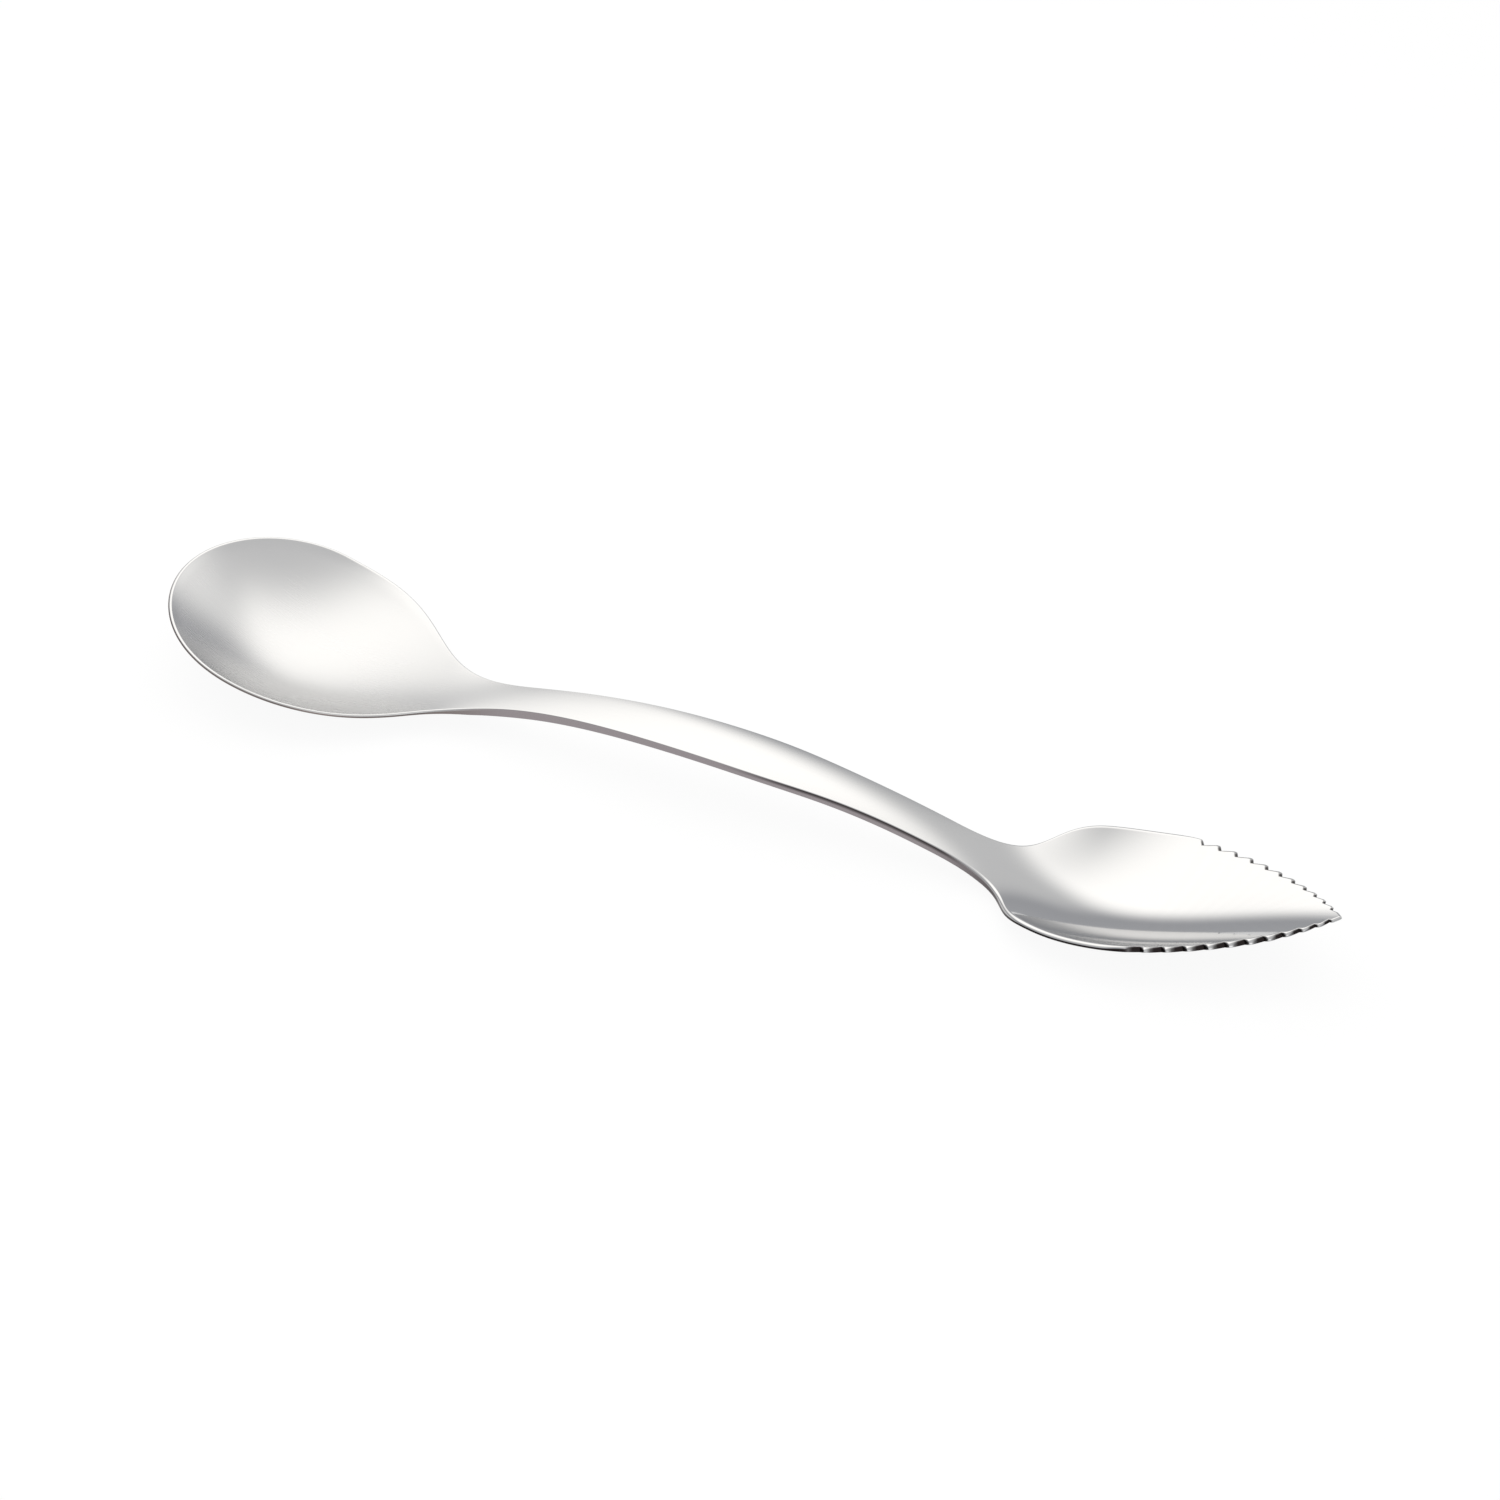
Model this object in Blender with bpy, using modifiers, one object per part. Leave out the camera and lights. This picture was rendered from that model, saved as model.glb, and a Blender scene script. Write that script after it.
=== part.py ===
"""A double-ended scoop spoon in three pressed pieces: an oval bowl, an arched handle and a
pointed scoop with teeth along both edges, butted together at the two necks.

Every piece is a sheet pressed on one shared die. The die's height is a spine line seen from the
side, plus a cross bend that hollows the bowls and crowns the handle. Metres, +Z up, with +X along
the spoon towards the toothed tip and Z = 0 where the two bowls rest.
"""

import math

import bmesh
import bpy
import numpy as np
from mathutils import Vector

MM = 0.001

# Lengths along the upper face, and widths across it
BOWL_LENGTH = 61.2 * MM
BOWL_NOSE = 18.9 * MM
BOWL_WIDTH = 40.1 * MM
BOWL_NECK_WIDTH = 7.1 * MM
HANDLE_LENGTH = 73.5 * MM
GRIP_SETBACK = 38.2 * MM
GRIP_WIDTH = 10.2 * MM
SCOOP_LENGTH = 65.3 * MM
SCOOP_NOSE = 33.1 * MM
SCOOP_WIDTH = 32.0 * MM
SCOOP_NECK_WIDTH = 7.6 * MM
SCOOP_TIP_RUN = 12.0 * MM
SCOOP_TIP_HALF_ANGLE = math.radians(49.0)
SCOOP_TIP_FLAT = 0.6 * MM

# Heights of the upper face along the middle of the spoon
BOWL_TIP_HEIGHT = 13.2 * MM
BOWL_NECK_HEIGHT = 7.15 * MM
GRIP_HEIGHT = 10.35 * MM
SCOOP_NECK_HEIGHT = 5.65 * MM
SCOOP_TIP_HEIGHT = 12.5 * MM
BOWL_FLOOR_SETBACK = 29.3 * MM
SCOOP_FLOOR_SETBACK = 41.9 * MM
BOWL_TIP_SLOPE = -1.02
SCOOP_TIP_SLOPE = 0.29

# Bend across the spoon, thickness of the sheet, and how far from each neck they change
BOWL_CROSS_RADIUS = 28.2 * MM
HANDLE_CROWN_RADIUS = 26.6 * MM
SCOOP_CROSS_RADIUS = 27.3 * MM
BOWL_SHEET = 0.6 * MM
HANDLE_THICKNESS = 1.9 * MM
SCOOP_SHEET = 0.9 * MM
BOWL_FADE_BACK = 17.5 * MM
BOWL_FADE_ON = 2.0 * MM
SCOOP_FADE_BACK = 7.0 * MM
SCOOP_FADE_ON = 22.0 * MM

# Teeth along each edge of the scoop, which get smaller towards its tip
PLAIN_SHOULDER = 4.2 * MM
PLAIN_TIP = 1.0 * MM
TOOTH_COUNT = 11
TOOTH_DEPTH = 0.85 * MM
TOOTH_TAPER = 0.30

# Fits
JOINT_GAP = 0.3 * MM
REST_FLAT_DEPTH = 0.1 * MM

# How full each stretch of the outline is, as shares of that stretch's length
BOWL_FULLNESS = 0.545
BOWL_NECK_EASE = 0.525
HANDLE_BOWL_EASE = 0.26
GRIP_BOWL_EASE = 0.45
GRIP_SCOOP_EASE = 0.36
HANDLE_SCOOP_EASE = 0.60
SCOOP_NECK_EASE = 0.63
SCOOP_SHOULDER_FULLNESS = 0.80
SCOOP_NOSE_FULLNESS = 0.25

# Facets of each pressed sheet
BOWL_NOSE_ROWS = 10
BOWL_BACK_ROWS = 16
BOWL_COLUMNS = 9
HANDLE_ROWS = 12
HANDLE_COLUMNS = 4
SCOOP_BACK_ROWS = 16
SCOOP_SHOULDER_ROWS = 4
SCOOP_COLUMNS = 8
EDGE_SAMPLES = 400

# Places along X, from the bowl's tip to the scoop's tip
BOWL_TIP_X = -(BOWL_LENGTH + HANDLE_LENGTH + SCOOP_LENGTH) / 2
BOWL_JOINT_X = BOWL_TIP_X + BOWL_LENGTH
GRIP_X = BOWL_JOINT_X + GRIP_SETBACK
SCOOP_JOINT_X = BOWL_JOINT_X + HANDLE_LENGTH
SCOOP_WIDEST_X = SCOOP_JOINT_X + SCOOP_LENGTH - SCOOP_NOSE
SCOOP_TIP_X = SCOOP_JOINT_X + SCOOP_LENGTH


def smooth_line(stations, start_slope, end_slope):
    """A height line of unbroken curvature through the stations, with its two end slopes set."""
    places, heights = np.array(stations).T
    runs = np.diff(places)
    rises = np.diff(heights) / runs
    system = np.eye(len(places))
    wanted = np.zeros(len(places))
    wanted[0] = start_slope
    wanted[-1] = end_slope
    for i in range(1, len(places) - 1):
        system[i, i - 1:i + 2] = runs[i], 2 * (runs[i - 1] + runs[i]), runs[i - 1]
        wanted[i] = 3 * (runs[i] * rises[i - 1] + runs[i - 1] * rises[i])
    slopes = np.linalg.solve(system, wanted)

    def height_at(x):
        i = int(np.clip(np.searchsorted(places, x) - 1, 0, len(runs) - 1))
        t = (x - places[i]) / runs[i]
        ends = heights[i] * (1 + 2 * t) * (1 - t) ** 2 + heights[i + 1] * t ** 2 * (3 - 2 * t)
        return ends + runs[i] * t * (1 - t) * (slopes[i] * (1 - t) - slopes[i + 1] * t)

    return height_at


spine_height = smooth_line(
    [
        (BOWL_TIP_X, BOWL_TIP_HEIGHT),
        (BOWL_TIP_X + BOWL_FLOOR_SETBACK, BOWL_SHEET - REST_FLAT_DEPTH),
        (BOWL_JOINT_X, BOWL_NECK_HEIGHT),
        (GRIP_X, GRIP_HEIGHT),
        (SCOOP_JOINT_X, SCOOP_NECK_HEIGHT),
        (SCOOP_TIP_X - SCOOP_FLOOR_SETBACK, SCOOP_SHEET - REST_FLAT_DEPTH),
        (SCOOP_TIP_X, SCOOP_TIP_HEIGHT),
    ],
    BOWL_TIP_SLOPE,
    SCOOP_TIP_SLOPE,
)


def fade(x, start, end):
    """0 before the start and 1 after the end, with a soft change between them."""
    t = min(max((x - start) / (end - start), 0.0), 1.0)
    return t ** 3 * (10 - 15 * t + 6 * t ** 2)


def along_spoon(x, bowl, handle, scoop):
    """A value that goes from the bowl's to the handle's to the scoop's across the two necks."""
    from_bowl = fade(x, BOWL_JOINT_X - BOWL_FADE_BACK, BOWL_JOINT_X + BOWL_FADE_ON)
    to_scoop = fade(x, SCOOP_JOINT_X - SCOOP_FADE_BACK, SCOOP_JOINT_X + SCOOP_FADE_ON)
    return bowl + (handle - bowl) * from_bowl + (scoop - handle) * to_scoop


def cross_bend(x):
    """Rise per square of the distance from the middle: hollow bowls and a crowned handle."""
    return along_spoon(
        x, 0.5 / BOWL_CROSS_RADIUS, -0.5 / HANDLE_CROWN_RADIUS, 0.5 / SCOOP_CROSS_RADIUS
    )


def die_height(x, y):
    return spine_height(x) + cross_bend(x) * y ** 2


def sheet_thickness(x, y):
    """Even in the bowls, and thinner at the crowned handle's edges, which keeps its underside flat."""
    middle = along_spoon(x, BOWL_SHEET, HANDLE_THICKNESS, SCOOP_SHEET)
    return middle + min(cross_bend(x), 0.0) * y ** 2


def eased_edge(start, end, start_ease, end_ease, t):
    """A point on an edge that leaves and arrives along X, each ease being a share of the stretch."""
    span = end.x - start.x
    leave = start + Vector((span * start_ease, 0))
    arrive = end - Vector((span * end_ease, 0))
    return bezier(start, leave, arrive, end, t)


def bezier(start, leave, arrive, end, t):
    s = 1 - t
    return s ** 3 * start + 3 * s * s * t * leave + 3 * s * t * t * arrive + t ** 3 * end


def straight_row(edge, columns):
    """Plan points from the spoon's middle out to one edge point."""
    middle = Vector((edge.x, 0))
    return [middle.lerp(edge, i / columns) for i in range(columns + 1)]


def bowl_rows():
    """The elliptical nose, whose rows bend round with the rim, then rows that narrow to the neck."""
    rows = []
    half_width = BOWL_WIDTH / 2
    for i in range(BOWL_NOSE_ROWS):
        back = i / BOWL_NOSE_ROWS - 1
        row = []
        for j in range(BOWL_COLUMNS + 1):
            out = j / BOWL_COLUMNS
            x = BOWL_TIP_X + BOWL_NOSE * (1 + back * math.sqrt(1 - out ** 2 / 2))
            y = half_width * out * math.sqrt(1 - back ** 2 / 2)
            row.append(Vector((x, y)))
        rows.append(row)
    widest = Vector((BOWL_TIP_X + BOWL_NOSE, half_width))
    neck = Vector((BOWL_JOINT_X - JOINT_GAP / 2, BOWL_NECK_WIDTH / 2))
    for i in range(BOWL_BACK_ROWS + 1):
        edge = eased_edge(widest, neck, BOWL_FULLNESS, BOWL_NECK_EASE, i / BOWL_BACK_ROWS)
        rows.append(straight_row(edge, BOWL_COLUMNS))
    return rows


def handle_rows():
    """From the bowl's neck out to the grip, the widest place, and in again to the scoop's neck."""
    bowl_end = Vector((BOWL_JOINT_X + JOINT_GAP / 2, BOWL_NECK_WIDTH / 2))
    grip = Vector((GRIP_X, GRIP_WIDTH / 2))
    scoop_end = Vector((SCOOP_JOINT_X - JOINT_GAP / 2, SCOOP_NECK_WIDTH / 2))
    rows = []
    for i in range(HANDLE_ROWS):
        edge = eased_edge(bowl_end, grip, HANDLE_BOWL_EASE, GRIP_BOWL_EASE, i / HANDLE_ROWS)
        rows.append(straight_row(edge, HANDLE_COLUMNS))
    for i in range(HANDLE_ROWS + 1):
        edge = eased_edge(grip, scoop_end, GRIP_SCOOP_EASE, HANDLE_SCOOP_EASE, i / HANDLE_ROWS)
        rows.append(straight_row(edge, HANDLE_COLUMNS))
    return rows


def scoop_nose_edge(t):
    """The bare edge from the scoop's widest place to its blunt tip, before the teeth are cut."""
    widest = Vector((SCOOP_WIDEST_X, SCOOP_WIDTH / 2))
    tip = Vector((SCOOP_TIP_X, SCOOP_TIP_FLAT / 2))
    leave = widest + Vector((SCOOP_NOSE * SCOOP_NOSE_FULLNESS, 0))
    run = Vector((-math.cos(SCOOP_TIP_HALF_ANGLE), math.sin(SCOOP_TIP_HALF_ANGLE)))
    return bezier(widest, leave, tip + run * SCOOP_TIP_RUN, tip, t)


def scoop_nose_stations():
    """Steps along the edge and their depth of cut: the plain shoulder, two a tooth, the plain tip."""
    steps = [i / EDGE_SAMPLES for i in range(EDGE_SAMPLES + 1)]
    points = [scoop_nose_edge(t) for t in steps]
    lengths = np.cumsum([0.0] + [(b - a).length for a, b in zip(points, points[1:])])
    stations = [(PLAIN_SHOULDER * i / SCOOP_SHOULDER_ROWS, 0.0) for i in range(SCOOP_SHOULDER_ROWS)]
    sizes = 1 - TOOTH_TAPER * np.linspace(0, 1, TOOTH_COUNT) ** 2
    pitches = sizes * (lengths[-1] - PLAIN_SHOULDER - PLAIN_TIP) / sizes.sum()
    tooth_tip = PLAIN_SHOULDER
    for size, pitch in zip(sizes, pitches):
        stations += [(tooth_tip, 0.0), (tooth_tip + pitch / 2, float(size) * TOOTH_DEPTH)]
        tooth_tip += pitch
    stations += [(tooth_tip, 0.0), (lengths[-1], 0.0)]
    return [(float(np.interp(length, lengths, steps)), depth) for length, depth in stations]


def scoop_rows():
    """From the neck out to the shoulders, then along the toothed edges to the tip."""
    neck = Vector((SCOOP_JOINT_X + JOINT_GAP / 2, SCOOP_NECK_WIDTH / 2))
    widest = scoop_nose_edge(0)
    rows = []
    for i in range(SCOOP_BACK_ROWS):
        t = i / SCOOP_BACK_ROWS
        edge = eased_edge(neck, widest, SCOOP_NECK_EASE, SCOOP_SHOULDER_FULLNESS, t)
        rows.append(straight_row(edge, SCOOP_COLUMNS))
    nudge = 1 / EDGE_SAMPLES
    for t, depth in scoop_nose_stations():
        ahead = (scoop_nose_edge(t + nudge) - scoop_nose_edge(t - nudge)).normalized()
        inward = Vector((ahead.y, -ahead.x))
        rows.append(straight_row(scoop_nose_edge(t) + inward * depth, SCOOP_COLUMNS))
    return rows


def steel(name, colour, roughness):
    material = bpy.data.materials.new(name)
    material.use_nodes = True
    shader = material.node_tree.nodes["Principled BSDF"]
    shader.inputs["Base Color"].default_value = (*colour, 1)
    shader.inputs["Metallic"].default_value = 1
    shader.inputs["Roughness"].default_value = roughness
    return material


def pressed_piece(name, rows, material, collection):
    """Press one half of a flat blank on the die, mirror it, and thicken it downwards."""
    columns = len(rows[0])
    blank = bmesh.new()
    bmesh.ops.create_grid(blank, x_segments=len(rows) - 1, y_segments=columns - 1, size=0.5)
    ordered = sorted(blank.verts, key=lambda v: (round(v.co.x, 5), round(v.co.y, 5)))
    plan = [point for row in rows for point in row]
    for vert, point in zip(ordered, plan):
        vert.co = (point.x, point.y, die_height(point.x, point.y))
    mesh = bpy.data.meshes.new(name)
    blank.to_mesh(mesh)
    blank.free()
    mesh.materials.append(material)
    mesh.shade_smooth()

    piece = bpy.data.objects.new(name, mesh)
    collection.objects.link(piece)
    sheet = piece.vertex_groups.new(name="sheet")
    for vert in mesh.vertices:
        share = sheet_thickness(vert.co.x, vert.co.y) / HANDLE_THICKNESS
        sheet.add([vert.index], share, "REPLACE")

    mirror = piece.modifiers.new("both_sides", "MIRROR")
    mirror.use_axis = (False, True, False)
    mirror.merge_threshold = 0.00001
    thicken = piece.modifiers.new("sheet", "SOLIDIFY")
    thicken.thickness = HANDLE_THICKNESS
    thicken.offset = -1
    thicken.vertex_group = sheet.name
    return piece


def grind_flat(piece, table):
    """Cut the lowest point of a bowl to a small flat that it rests on."""
    cut = piece.modifiers.new("rest_flat", "BOOLEAN")
    cut.object = table
    cut.operation = "DIFFERENCE"


def table_cutter(collection):
    """A block below Z = 0, longer and wider than the spoon."""
    length = 2 * (SCOOP_TIP_X - BOWL_TIP_X)
    width = 2 * max(BOWL_WIDTH, SCOOP_WIDTH)
    depth = 2 * HANDLE_THICKNESS
    shape = bmesh.new()
    bmesh.ops.create_cube(shape, size=1)
    bmesh.ops.scale(shape, vec=(length, width, depth), verts=shape.verts)
    mesh = bpy.data.meshes.new("rest_cutter")
    shape.to_mesh(mesh)
    shape.free()
    cutter = bpy.data.objects.new("rest_cutter", mesh)
    cutter.location = (0, 0, -depth / 2)
    cutter.hide_render = True
    cutter.display_type = "WIRE"
    collection.objects.link(cutter)
    return cutter


def named_collection(name):
    collection = bpy.data.collections.new(name)
    bpy.context.scene.collection.children.link(collection)
    return collection


for old in list(bpy.data.objects):
    bpy.data.objects.remove(old)

spoon = named_collection("double_ended_scoop_spoon")
table = table_cutter(named_collection("cutters"))

satin_steel = steel("satin_steel", (0.62, 0.62, 0.61), 0.30)
handle_steel = steel("handle_steel", (0.66, 0.65, 0.64), 0.20)
polished_steel = steel("polished_steel", (0.68, 0.68, 0.67), 0.14)

oval_bowl = pressed_piece("oval_bowl", bowl_rows(), satin_steel, spoon)
grind_flat(oval_bowl, table)
handle = pressed_piece("handle", handle_rows(), handle_steel, spoon)
serrated_scoop = pressed_piece("serrated_scoop", scoop_rows(), polished_steel, spoon)
grind_flat(serrated_scoop, table)
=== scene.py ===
import math

import bpy
import numpy as np
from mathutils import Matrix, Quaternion, Vector


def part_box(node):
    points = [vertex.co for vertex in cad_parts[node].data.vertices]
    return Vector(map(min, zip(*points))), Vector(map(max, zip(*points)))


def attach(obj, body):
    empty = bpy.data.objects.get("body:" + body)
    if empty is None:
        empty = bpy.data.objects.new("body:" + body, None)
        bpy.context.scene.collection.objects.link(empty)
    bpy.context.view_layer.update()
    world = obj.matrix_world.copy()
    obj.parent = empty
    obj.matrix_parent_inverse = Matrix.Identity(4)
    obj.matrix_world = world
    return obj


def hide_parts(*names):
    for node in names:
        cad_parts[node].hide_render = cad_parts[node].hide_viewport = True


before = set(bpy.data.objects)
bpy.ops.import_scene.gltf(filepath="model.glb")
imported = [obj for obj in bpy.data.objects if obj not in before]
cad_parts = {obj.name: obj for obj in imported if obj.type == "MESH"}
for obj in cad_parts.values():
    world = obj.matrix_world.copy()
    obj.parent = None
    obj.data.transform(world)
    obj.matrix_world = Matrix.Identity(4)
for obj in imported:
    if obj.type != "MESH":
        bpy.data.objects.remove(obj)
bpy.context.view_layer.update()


# Oval bowl: the egg-shaped end, pressed from 0.6 mm stainless sheet and brushed along its length
# to a satin finish, with the rim rounded over. Its neck is butt-welded to the handle and ground
# flush. All three pieces are pressed on one long die, which is set out here first.

MM = 0.001

# Lengths along the spoon, and from them the places of the welds, the tips, the two deepest places
# and the grip, where the handle is widest
BOWL_LENGTH = 61.2 * MM
BOWL_TIP_TO_FLOOR = 29.3 * MM
BOWL_WELD_TO_GRIP = 38.2 * MM
SCOOP_LENGTH = 65.3 * MM
SCOOP_TIP_TO_FLOOR = 41.9 * MM
bowl_weld = (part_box("oval_bowl")[1].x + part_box("handle")[0].x) / 2
scoop_weld = (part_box("handle")[1].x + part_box("serrated_scoop")[0].x) / 2
bowl_tip = bowl_weld - BOWL_LENGTH
bowl_floor = bowl_tip + BOWL_TIP_TO_FLOOR
grip = bowl_weld + BOWL_WELD_TO_GRIP
scoop_tip = scoop_weld + SCOOP_LENGTH
scoop_floor = scoop_tip - SCOOP_TIP_TO_FLOOR

# Heights of the upper face there, and its slope at the two tips
BOWL_TIP_HEIGHT = 13.2 * MM
BOWL_FLOOR_HEIGHT = 0.5 * MM
BOWL_NECK_HEIGHT = 7.15 * MM
GRIP_HEIGHT = 10.35 * MM
SCOOP_NECK_HEIGHT = 5.65 * MM
SCOOP_FLOOR_HEIGHT = 0.8 * MM
SCOOP_TIP_HEIGHT = 12.5 * MM
BOWL_TIP_SLOPE = -1.02
SCOOP_TIP_SLOPE = 0.29


def smooth_line(stations, start_slope, end_slope):
    """A height line of unbroken curvature through the stations, with its two end slopes set."""
    places, heights = np.array(stations).T
    runs = np.diff(places)
    rises = np.diff(heights) / runs
    system = np.eye(len(places))
    wanted = np.zeros(len(places))
    wanted[0] = start_slope
    wanted[-1] = end_slope
    for i in range(1, len(places) - 1):
        system[i, i - 1:i + 2] = runs[i], 2 * (runs[i - 1] + runs[i]), runs[i - 1]
        wanted[i] = 3 * (runs[i] * rises[i - 1] + runs[i - 1] * rises[i])
    slopes = np.linalg.solve(system, wanted)

    def height_at(x):
        i = np.clip(np.searchsorted(places, x) - 1, 0, len(runs) - 1)
        t = (x - places[i]) / runs[i]
        ends = heights[i] * (1 + 2 * t) * (1 - t) ** 2 + heights[i + 1] * t ** 2 * (3 - 2 * t)
        return ends + runs[i] * t * (1 - t) * (slopes[i] * (1 - t) - slopes[i + 1] * t)

    return height_at


spine_height = smooth_line(
    [
        (bowl_tip, BOWL_TIP_HEIGHT),
        (bowl_floor, BOWL_FLOOR_HEIGHT),
        (bowl_weld, BOWL_NECK_HEIGHT),
        (grip, GRIP_HEIGHT),
        (scoop_weld, SCOOP_NECK_HEIGHT),
        (scoop_floor, SCOOP_FLOOR_HEIGHT),
        (scoop_tip, SCOOP_TIP_HEIGHT),
    ],
    BOWL_TIP_SLOPE,
    SCOOP_TIP_SLOPE,
)

# Where the bend across the spoon, and with it the sheet and its rim, change at the two necks
BOWL_FADE = (bowl_weld - 17.5 * MM, bowl_weld + 2.0 * MM)
SCOOP_FADE = (scoop_weld - 7.0 * MM, scoop_weld + 22.0 * MM)


def soft_step(x, start, end):
    """0 before the start, 1 after the end, and a smooth rise between them."""
    t = np.clip((x - start) / (end - start), 0.0, 1.0)
    return t ** 3 * (10 - 15 * t + 6 * t ** 2)


def along_spoon(x, bowl, handle, scoop):
    """A value that goes from the bowl's to the handle's to the scoop's across the two necks."""
    into_handle = soft_step(x, *BOWL_FADE)
    into_scoop = soft_step(x, *SCOOP_FADE)
    return bowl + (handle - bowl) * into_handle + (scoop - handle) * into_scoop


BOWL_CROSS_RADIUS = 28.2 * MM
HANDLE_CROWN_RADIUS = 26.6 * MM
SCOOP_CROSS_RADIUS = 27.3 * MM
BOWL_SHEET = 0.6 * MM
HANDLE_THICKNESS = 1.9 * MM
SCOOP_SHEET = 0.9 * MM
SCOOP_TIP_SHEET = 0.5 * MM
TIP_THINNING = 12.0 * MM


def cross_bend(x):
    """Rise per square of the distance from the middle: hollow bowls and a crowned handle."""
    return along_spoon(x, 0.5 / BOWL_CROSS_RADIUS, -0.5 / HANDLE_CROWN_RADIUS, 0.5 / SCOOP_CROSS_RADIUS)


def die_height(x, y):
    """Height of the upper face over a place in plan."""
    return spine_height(x) + cross_bend(x) * y ** 2


def sheet_thickness(x, y):
    """Less towards the scoop's tip, and at the edges of the crowned handle, whose underside is flat."""
    thinned = soft_step(x, scoop_tip - TIP_THINNING, scoop_tip)
    scoop_sheet = SCOOP_SHEET + (SCOOP_TIP_SHEET - SCOOP_SHEET) * thinned
    crown_drop = np.minimum(cross_bend(x), 0.0) * y ** 2
    return along_spoon(x, BOWL_SHEET, HANDLE_THICKNESS, scoop_sheet) + crown_drop


def pressed(x, y, below):
    """Points on the die, each moved down into the sheet by its distance below the upper face."""
    step = 0.01 * MM
    slope_x = (die_height(x + step, y) - die_height(x - step, y)) / (2 * step)
    slope_y = (die_height(x, y + step) - die_height(x, y - step)) / (2 * step)
    drop = below / np.sqrt(1 + slope_x ** 2 + slope_y ** 2)
    return np.stack([x + slope_x * drop, y + slope_y * drop, die_height(x, y) - drop], axis=-1)


# The rim is rounded over on its upper side, by no more than a share of the sheet, and only eased on
# its lower side. Values in threes are for the bowl, the handle and the scoop.
RIM_ROUND = (0.30 * MM, 0.18 * MM, 0.56 * MM)
RIM_EASE = 0.08 * MM
MOST_ROUND = 0.88

# A notch starts some way out along its row and is shallower below. The deeper it is, the more of the
# rounding it cuts away, down to a narrow lip at its full depth. The notches lean: inwards they run
# towards the neck on the +Y side and towards the tip on the other.
NOTCH_START = 0.84
NOTCH_LIP = 0.12 * MM
NOTCH_UNDERSIDE = 0.75
NOTCH_LEAN = 0.9
FULL_NOTCH = 1.0 * MM

# Marks for the materials, as shares of the stretch of a row that they lie on: the sheared edge, which
# is rougher and also carries painted shade, left bright above and painted dark from some way down, or
# higher up in a notch; the painted dark line over it; and the rubbed rim
RIM_BRIGHT = (0.35, 0.0, 0.35)
ROUND_DARKENS = 0.5
NOTCH_DARKENS = 0.4
NOTCH_FLANK = (0.0, 0.3)
DARK_FADE = 0.5
DARK_ENDS = (0.3, 1.0)
LINE_STARTS = (0.2, 0.7)
LINE_ENDS = (0.10, 0.45)
RUBBED_RIM = (0.9, 1.0)

# How many grid columns each stretch of a row takes on one side, and how the mesh is closed
UPPER_COLUMNS = 40
ROUND_COLUMNS = 9
WALL_COLUMNS = 4
EASE_COLUMNS = 4
UNDER_COLUMNS = 22
RIM_MARGIN = 0.004
MERGE_DISTANCE = 0.001 * MM
SMOOTH_ANGLE = math.radians(40)


def rim_rounds(edges):
    """Radius of the plain rounding at each place of an edge."""
    return along_spoon(edges[:, 0], *RIM_ROUND)


def close_up(piece):
    """Join the seam under the spoon's middle, fill the open neck and point every face outwards."""
    bpy.context.view_layer.objects.active = piece
    bpy.ops.object.mode_set(mode="EDIT")
    bpy.ops.mesh.select_mode(type="VERT")
    bpy.ops.mesh.select_all(action="SELECT")
    bpy.ops.mesh.remove_doubles(threshold=MERGE_DISTANCE)
    bpy.ops.mesh.select_mode(type="EDGE")
    bpy.ops.mesh.select_all(action="DESELECT")
    bpy.ops.mesh.select_non_manifold(extend=False)
    bpy.ops.mesh.fill(use_beauty=False)
    bpy.ops.mesh.select_all(action="SELECT")
    bpy.ops.mesh.normals_make_consistent(inside=False)
    bpy.ops.object.mode_set(mode="OBJECT")
    bpy.ops.object.shade_smooth_by_angle(angle=SMOOTH_ANGLE)


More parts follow.
